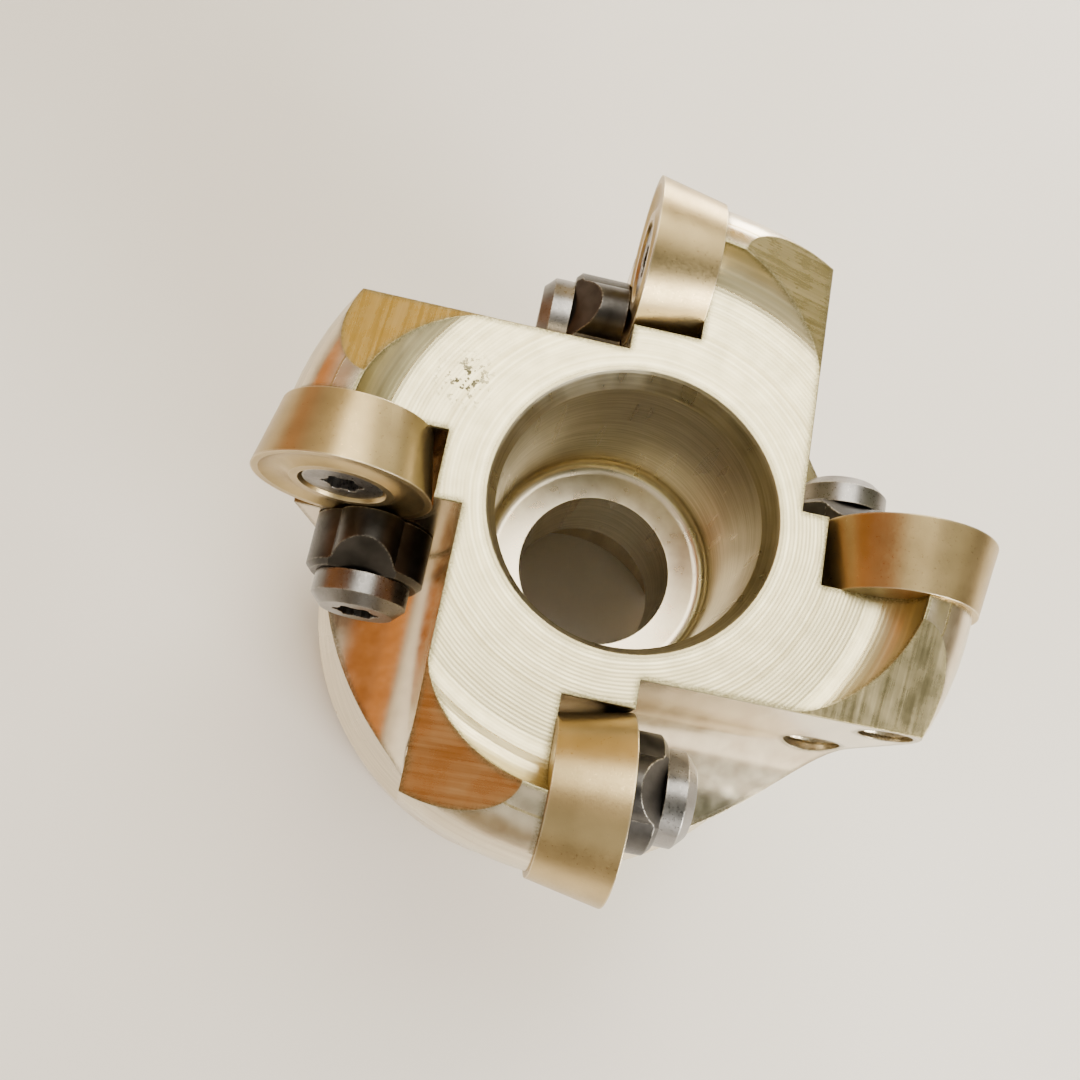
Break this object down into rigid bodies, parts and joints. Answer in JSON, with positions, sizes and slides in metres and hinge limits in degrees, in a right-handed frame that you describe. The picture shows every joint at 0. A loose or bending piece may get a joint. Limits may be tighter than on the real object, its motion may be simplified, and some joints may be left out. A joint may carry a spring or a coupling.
{
  "type": "face mill",
  "caption": "Right-hand shell face mill: bored steel body with open gullets, round inserts seated in pockets, each held by a screw and a finger clamp.",
  "frame": {"origin": "centre of the back face, on the cutter's axis", "axes": "+Z along the axis from the arbor side to the cutting end, +X through tooth 1"},
  "size_m": [0.0498, 0.0498, 0.05],
  "materials": {
    "nickel_steel": "bright nickel-plated steel, turned and milled",
    "coated_carbide": "ground carbide with a thin gold-brown coating",
    "clamp_steel": "black oxide, satin",
    "screw_steel": "dark oiled alloy steel"
  },
  "bodies": {
    "cutter": {"cutter_body": "nickel_steel"},
    "insert_1": {"insert_1": "coated_carbide"},
    "insert_2": {"insert_2": "coated_carbide"},
    "insert_3": {"insert_3": "coated_carbide"},
    "insert_4": {"insert_4": "coated_carbide"},
    "insert_screw_1": {"insert_screw_1": "screw_steel"},
    "insert_screw_2": {"insert_screw_2": "screw_steel"},
    "insert_screw_3": {"insert_screw_3": "screw_steel"},
    "insert_screw_4": {"insert_screw_4": "screw_steel"},
    "clamp_1": {"clamp_1": "clamp_steel"},
    "clamp_2": {"clamp_2": "clamp_steel"},
    "clamp_3": {"clamp_3": "clamp_steel"},
    "clamp_4": {"clamp_4": "clamp_steel"},
    "clamp_screw_1": {"clamp_screw_1": "screw_steel"},
    "clamp_screw_2": {"clamp_screw_2": "screw_steel"},
    "clamp_screw_3": {"clamp_screw_3": "screw_steel"},
    "clamp_screw_4": {"clamp_screw_4": "screw_steel"}
  },
  "joints": [
    {"name": "clamp_screw_1_draw", "type": "slide", "parent": "cutter", "child": "clamp_screw_1", "axis": [0, 1, 0], "range_m": [0, 0.016]},
    {"name": "clamp_1_swivel", "type": "hinge", "parent": "clamp_screw_1", "child": "clamp_1", "pos_m": [0.0169, 0.0023, 0.0357], "axis": [0, 1, 0], "range_deg": [0, 75]},
    {"name": "insert_screw_1_draw", "type": "slide", "parent": "cutter", "child": "insert_screw_1", "axis": [0, 1, 0], "range_m": [0, 0.012]},
    {"name": "insert_1_index", "type": "hinge", "parent": "insert_screw_1", "child": "insert_1", "pos_m": [0.0189, 0, 0.044], "axis": [0, 1, 0], "continuous": true},
    {"name": "clamp_screw_2_draw", "type": "slide", "parent": "cutter", "child": "clamp_screw_2", "axis": [-1, 0, 0], "range_m": [0, 0.016]},
    {"name": "clamp_2_swivel", "type": "hinge", "parent": "clamp_screw_2", "child": "clamp_2", "pos_m": [-0.0023, 0.0169, 0.0357], "axis": [-1, 0, 0], "range_deg": [0, 75]},
    {"name": "insert_screw_2_draw", "type": "slide", "parent": "cutter", "child": "insert_screw_2", "axis": [-1, 0, 0], "range_m": [0, 0.012]},
    {"name": "insert_2_index", "type": "hinge", "parent": "insert_screw_2", "child": "insert_2", "pos_m": [0, 0.0189, 0.044], "axis": [-1, 0, 0], "continuous": true},
    {"name": "clamp_screw_3_draw", "type": "slide", "parent": "cutter", "child": "clamp_screw_3", "axis": [0, -1, 0], "range_m": [0, 0.016]},
    {"name": "clamp_3_swivel", "type": "hinge", "parent": "clamp_screw_3", "child": "clamp_3", "pos_m": [-0.0169, -0.0023, 0.0357], "axis": [0, -1, 0], "range_deg": [0, 75]},
    {"name": "insert_screw_3_draw", "type": "slide", "parent": "cutter", "child": "insert_screw_3", "axis": [0, -1, 0], "range_m": [0, 0.012]},
    {"name": "insert_3_index", "type": "hinge", "parent": "insert_screw_3", "child": "insert_3", "pos_m": [-0.0189, 0, 0.044], "axis": [0, -1, 0], "continuous": true},
    {"name": "clamp_screw_4_draw", "type": "slide", "parent": "cutter", "child": "clamp_screw_4", "axis": [1, 0, 0], "range_m": [0, 0.016]},
    {"name": "clamp_4_swivel", "type": "hinge", "parent": "clamp_screw_4", "child": "clamp_4", "pos_m": [0.0023, -0.0169, 0.0357], "axis": [1, 0, 0], "range_deg": [0, 75]},
    {"name": "insert_screw_4_draw", "type": "slide", "parent": "cutter", "child": "insert_screw_4", "axis": [1, 0, 0], "range_m": [0, 0.012]},
    {"name": "insert_4_index", "type": "hinge", "parent": "insert_screw_4", "child": "insert_4", "pos_m": [0, -0.0189, 0.044], "axis": [1, 0, 0], "continuous": true}
  ],
  "couplings": [
    {"joint": "insert_screw_1_draw", "follows": "clamp_screw_1_draw", "ratio": 0.75},
    {"joint": "insert_screw_2_draw", "follows": "clamp_screw_2_draw", "ratio": 0.75},
    {"joint": "insert_screw_3_draw", "follows": "clamp_screw_3_draw", "ratio": 0.75},
    {"joint": "insert_screw_4_draw", "follows": "clamp_screw_4_draw", "ratio": 0.75}
  ]
}
